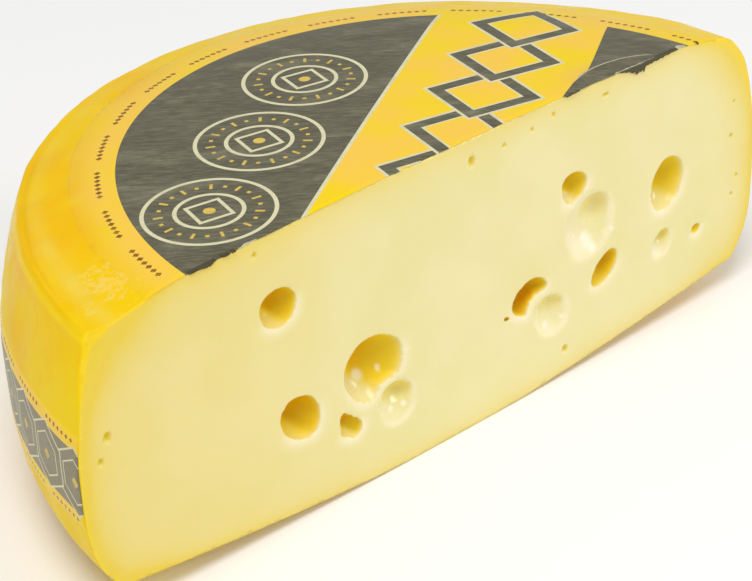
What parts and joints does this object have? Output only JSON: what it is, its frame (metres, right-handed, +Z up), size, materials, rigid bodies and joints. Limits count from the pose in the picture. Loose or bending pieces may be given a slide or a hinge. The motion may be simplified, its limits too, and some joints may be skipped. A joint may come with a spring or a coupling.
{
  "type": "half cheese wheel",
  "caption": "Half of a yellow-coated wheel of holed cheese as cut, with a printed label film on top and a printed band round its side.",
  "frame": {"origin": "bottom centre of the box round the half wheel as it rests, on the surface it stands on", "axes": "+X along the cut face, +Y from the cut face into the cheese, +Z up"},
  "size_m": [0.3306, 0.1692, 0.1187],
  "materials": {
    "cheese": "smooth pale yellow paste on the cut, glossy deep yellow wax coat all round",
    "top_label": "satin film, dark grey and yellow print with cream outlines",
    "side_label": "satin film, dark grey and yellow print with cream outlines"
  },
  "bodies": {
    "root": {"cheese": "cheese", "top_label": "top_label", "side_label": "side_label"}
  },
  "joints": []
}
